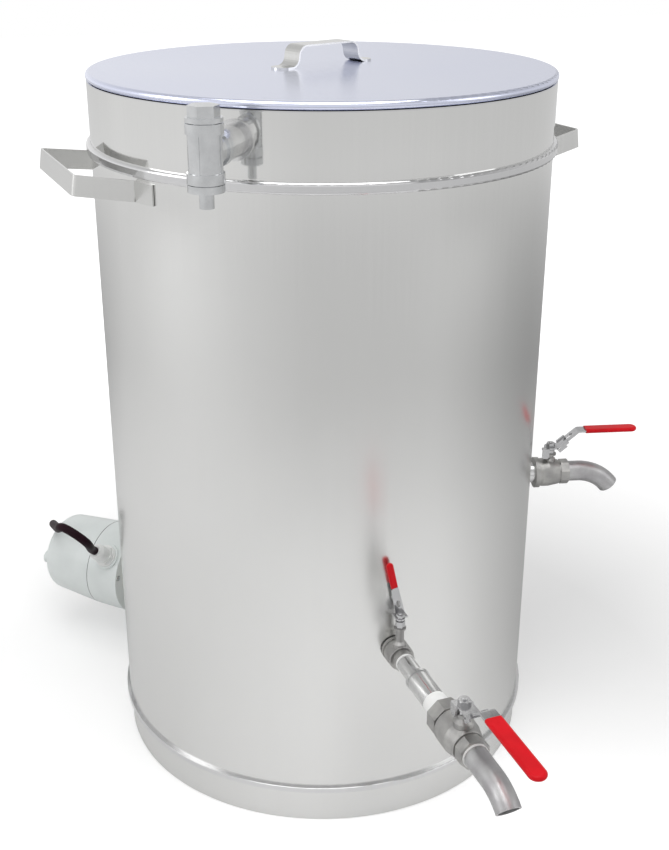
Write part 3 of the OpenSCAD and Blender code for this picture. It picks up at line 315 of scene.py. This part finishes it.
def plastic(name, colour, shade, roughness, grain=0.00003, scale=900, specular=0.5):
    """Moulded plastic: a fine texture and a slightly uneven colour."""
    material, tree, shader = new_material(name)
    make = Maker(tree)
    fine = make.noise(scale, 2)
    broad = make.noise(30, 3)
    make.join(make.blend(make.span(broad, *NOISE_MIDDLE, 0, 1), shade, colour), shader.inputs["Base Color"])
    make.join(make.span(broad, *NOISE_RANGE, roughness - 0.04, roughness + 0.05), shader.inputs["Roughness"])
    shader.inputs["Specular IOR Level"].default_value = specular
    make.bump(shader, fine, grain, 0.6)
    return material


BODY_STEEL = sheet_steel("body_steel", (0.79, 0.79, 0.78), (0.75, 0.75, 0.74), 0.25, 0.27, polish=0.3)
BRIGHT_STEEL = sheet_steel("bright_steel", (0.74, 0.74, 0.745), (0.68, 0.68, 0.69), 0.1, 0.17, 0.0003)
STRAP_STEEL = sheet_steel("strap_steel", (0.74, 0.74, 0.73), (0.66, 0.66, 0.65), 0.16, 0.26, 0.0003)
LID_STEEL = sheet_steel("lid_steel", (0.75, 0.78, 0.94), (0.73, 0.76, 0.91), 0.2, 0.26, 0.0002, (1, 0.03, 1))
CAST = cast_metal("cast_steel", (0.46, 0.455, 0.44), (0.34, 0.335, 0.33), 0.4)
TEE_CAST = cast_metal("tee_cast", (0.7, 0.71, 0.72), (0.6, 0.61, 0.62), 0.165, 0.00002)
PIPE = turned_metal("pipe_steel", (0.72, 0.72, 0.72), (0.6, 0.6, 0.6), 0.16)
SPOUT = turned_metal("spout_steel", (0.52, 0.52, 0.52), (0.4, 0.39, 0.4), 0.42)
LEVER = turned_metal("lever_steel", (0.58, 0.58, 0.585), (0.46, 0.46, 0.47), 0.2)
BRASS = turned_metal("brass", (0.72, 0.56, 0.28), (0.6, 0.45, 0.22), 0.2)
RED = plastic("red_sleeve", (0.72, 0.004, 0.012), (0.6, 0.003, 0.009), 0.33, 0.00004, 500, specular=0.18)
HOUSING = plastic("grey_housing", (0.79, 0.83, 0.82), (0.75, 0.79, 0.78), 0.36)
WHITE = plastic("white_plastic", (0.86, 0.87, 0.86), (0.8, 0.81, 0.8), 0.4)
TAPE = plastic("thread_tape", (0.9, 0.9, 0.89), (0.8, 0.8, 0.79), 0.55, 0.0003, 300)
BLACK = plastic("black_rubber", (0.018, 0.004, 0.009), (0.012, 0.003, 0.006), 0.5, 0.00005, 700, specular=0.1)

FINISH = {
    BODY_STEEL: ["outer_jacket", "base_skirt", "inner_vessel"],
    BRIGHT_STEEL: ["jacket_floor", "jacket_bead", "top_flange"],
    STRAP_STEEL: ["carry_handle_left", "carry_handle_right", "lid_handle"],
    LID_STEEL: ["lid_plate", "lid_collar"],
    CAST: ["valve_a_body", "valve_a_end", "valve_b_body", "valve_b_end", "valve_c_body", "valve_c_end"],
    TEE_CAST: ["tee_fitting", "tee_plug", "tee_stub"],
    PIPE: ["lower_outlet_pipe", "half_inch_nipple", "reducing_nipple", "side_outlet_pipe",
           "overflow_socket", "heater_boss", "heating_elements", "housing_screws"],
    SPOUT: ["lower_spout", "side_spout"],
    LEVER: ["valve_a_ball", "valve_a_stem", "valve_a_nut", "valve_a_lever", "valve_b_ball", "valve_b_stem",
            "valve_b_nut", "valve_b_lever", "valve_b_lock", "valve_c_ball", "valve_c_stem", "valve_c_nut",
            "valve_c_lever", "valve_c_lock", "valve_gland_nuts"],
    BRASS: ["heater_head"],
    RED: ["valve_a_sleeve", "valve_b_sleeve", "valve_c_sleeve"],
    HOUSING: ["housing_base", "housing_cap", "thermostat_knob"],
    WHITE: ["cable_gland", "valve_seats", "thermostat_body"],
    TAPE: ["thread_tape"],
    BLACK: ["mains_cable", "cable_coil", "coil_tie", "plug"],
}


def paint(obj, material):
    obj.data.materials.clear()
    obj.data.materials.append(material)


for material, names in FINISH.items():
    for name in names:
        paint(NODES[name], material)
make_cable(BLACK)
make_seal(BLACK)


# World as metal mirrors it: darker overhead and towards +X
OVERHEAD_SPAN, OVERHEAD_TONES = (0.1, 0.9), (0.97, 0.5)
SIDE_SPAN, SIDE_TONES = (0, 0.7), (1, 0.75)
ROUGH_LIGHT = 0.5


def make_world():
    """White to the camera, even to rough surfaces, and to metal a pale room that is darker overhead."""
    world = bpy.data.worlds.new("studio")
    world.use_nodes = True
    tree = world.node_tree
    make = Maker(tree)
    lit = tree.nodes["Background"]
    lit.inputs["Color"].default_value = (1, 1, 1, 1)
    lit.inputs["Strength"].default_value = ROUGH_LIGHT
    white = make.node("Background")
    white.inputs["Color"].default_value = (1, 1, 1, 1)
    room = make.node("Background")
    room.inputs["Color"].default_value = (1, 1, 1, 1)
    split = make.node("SeparateXYZ")
    make.join(make.node("TexCoord").outputs["Generated"], split.inputs[0])
    overhead = make.span(split.outputs["Z"], *OVERHEAD_SPAN, *OVERHEAD_TONES)
    sideways = make.span(split.outputs["X"], *SIDE_SPAN, *SIDE_TONES)
    make.join(make.math("MULTIPLY", overhead, sideways), room.inputs["Strength"])
    path = make.node("LightPath")
    metal = make.math("MAXIMUM", path.outputs["Is Glossy Ray"], path.outputs["Is Transmission Ray"])
    lit_or_room = make.mix_shader(metal, lit.outputs[0], room.outputs[0])
    seen = make.mix_shader(path.outputs["Is Camera Ray"], lit_or_room, white.outputs[0])
    make.join(seen, tree.nodes["World Output"].inputs["Surface"])
    bpy.context.scene.world = world


FLOOR_HALF = 9
FLOOR_DROP = 0.0003
FLOOR_ROUGH = 0.9

# Painted reflection: sides of the floor whose colour is painted dimmer and brighter so that the steel mirrors
# them darker and lighter, as directions, and the cosines of the angle to them between which the floor changes
PAINTED_DIM_SIDE = (0.77, 0.64, 0)
PAINTED_BRIGHT_SIDE = (-0.97, 0.26, 0)
DIM_TURN, DIM_TONES = (-0.1, 0.9), (1, 0.6)
LIFT_TURN, LIFT_TONES = (0, 0.9), (1, 1.25)
BRIGHT_TURN, BRIGHT_TONES = (0.2, 0.9), (0, 0.16)

# Distances from the tank's axis between which the floor changes, and its tones there. The floor's colour is
# painted paler near the tank as painted reflection in the steel, the glow to metal far off is painted
# reflection too, and the glow to the camera only whitens the floor
BRIGHT_FADE, BRIGHT_SHARE = (0.8, 1.5), (-0.7, 1)
PAINT_FADE, PAINT_TONES = (0.9, 1.6), (0.93, 0.65)
SEEN_FADE, SEEN_TONES = (0.5, 1.6), (0.3, 1)
PAINTED_REFLECTION_FADE, PAINTED_REFLECTION_TONES = (1.4, 4.2), (0, 0.36)


def make_floor():
    """A pale floor, white to the camera away from the object's shadow, and paler to metal far off; its colour
    and its glow to metal are painted reflection that the steel mirrors as lighter and darker bands.
    """
    mesh = bpy.data.meshes.new("floor")
    square = [(FLOOR_HALF * x, FLOOR_HALF * y, 0) for x, y in ((-1, -1), (1, -1), (1, 1), (-1, 1))]
    mesh.from_pydata(square, [], [(0, 1, 2, 3)])
    floor = bpy.data.objects.new("floor", mesh)
    floor.location.z = -FLOOR_DROP
    bpy.context.scene.collection.objects.link(floor)
    material, tree, shader = new_material("floor")
    make = Maker(tree)
    length = make.node("VectorMath", operation="LENGTH")
    make.join(make.place(), length.inputs[0])
    away = length.outputs["Value"]
    unit = make.node("VectorMath", operation="NORMALIZE")
    make.join(make.place(), unit.inputs[0])
    sides = []
    for direction in (PAINTED_DIM_SIDE, PAINTED_BRIGHT_SIDE):
        facing = make.node("VectorMath", operation="DOT_PRODUCT")
        facing.inputs[1].default_value = direction
        make.join(unit.outputs["Vector"], facing.inputs[0])
        sides.append(facing.outputs["Value"])
    to_dim, to_bright = sides
    # Painted reflection: the floor's colour is painted brighter towards one side, paler near the tank and
    # dimmer towards another side, for the steel to mirror
    share = make.span(away, *BRIGHT_FADE, *BRIGHT_SHARE)
    extra = make.math("MULTIPLY", make.span(to_bright, *BRIGHT_TURN, *BRIGHT_TONES), share)
    bright = make.math("ADD", 1, extra)
    painted = make.math("MULTIPLY", make.span(away, *PAINT_FADE, *PAINT_TONES), bright)
    tone = make.math("MULTIPLY", painted, make.span(to_dim, *DIM_TURN, *DIM_TONES))
    grey = make.node("CombineColor")
    for channel in ("Red", "Green", "Blue"):
        make.join(tone, grey.inputs[channel])
    make.join(grey.outputs["Color"], shader.inputs["Base Color"])
    shader.inputs["Roughness"].default_value = FLOOR_ROUGH
    shader.inputs["Specular IOR Level"].default_value = 0
    path = make.node("LightPath")
    seen = make.span(away, *SEEN_FADE, *SEEN_TONES)
    # Painted reflection: a glow that only glossy rays see, rising with distance, brighter on the bright side
    # and fainter on the dim side
    lift = make.math("MULTIPLY", bright, make.span(to_dim, *LIFT_TURN, *LIFT_TONES))
    painted_reflection = make.math("MULTIPLY", make.span(away, *PAINTED_REFLECTION_FADE, *PAINTED_REFLECTION_TONES), lift)
    glow = make.node("Emission")
    make.join(make.math("MAXIMUM", make.math("MULTIPLY", seen, path.outputs["Is Camera Ray"]),
                        make.math("MULTIPLY", painted_reflection, path.outputs["Is Glossy Ray"])),
              glow.inputs["Strength"])
    both = make.node("AddShader")
    make.join(shader.outputs[0], both.inputs[0])
    make.join(glow.outputs[0], both.inputs[1])
    make.join(both.outputs[0], tree.nodes["Material Output"].inputs["Surface"])
    paint(floor, material)


def make_lamp(name, place, target, size, power):
    """Soft rectangular lamp that points at a target."""
    data = bpy.data.lights.new(name, "AREA")
    data.shape = "RECTANGLE"
    data.size, data.size_y = size
    data.energy = power
    lamp = bpy.data.objects.new(name, data)
    bpy.context.scene.collection.objects.link(lamp)
    lamp.location = place
    lamp.rotation_mode = "QUATERNION"
    lamp.rotation_quaternion = (Vector(target) - Vector(place)).to_track_quat("-Z", "Y")


make_world()
make_floor()
make_lamp("top_lamp", (-0.3, -0.6, 3.0), (0, 0, 0.3), (2.4, 2.4), 42)
make_lamp("left_lamp", (-2.7, 0.2, 1.7), (0, 0, 0.4), (1.2, 2.0), 12)
make_lamp("right_lamp", (2.2, -1.6, 1.6), (0, 0, 0.4), (1.2, 2.0), 8)

bpy.context.scene.view_settings.view_transform = "Standard"
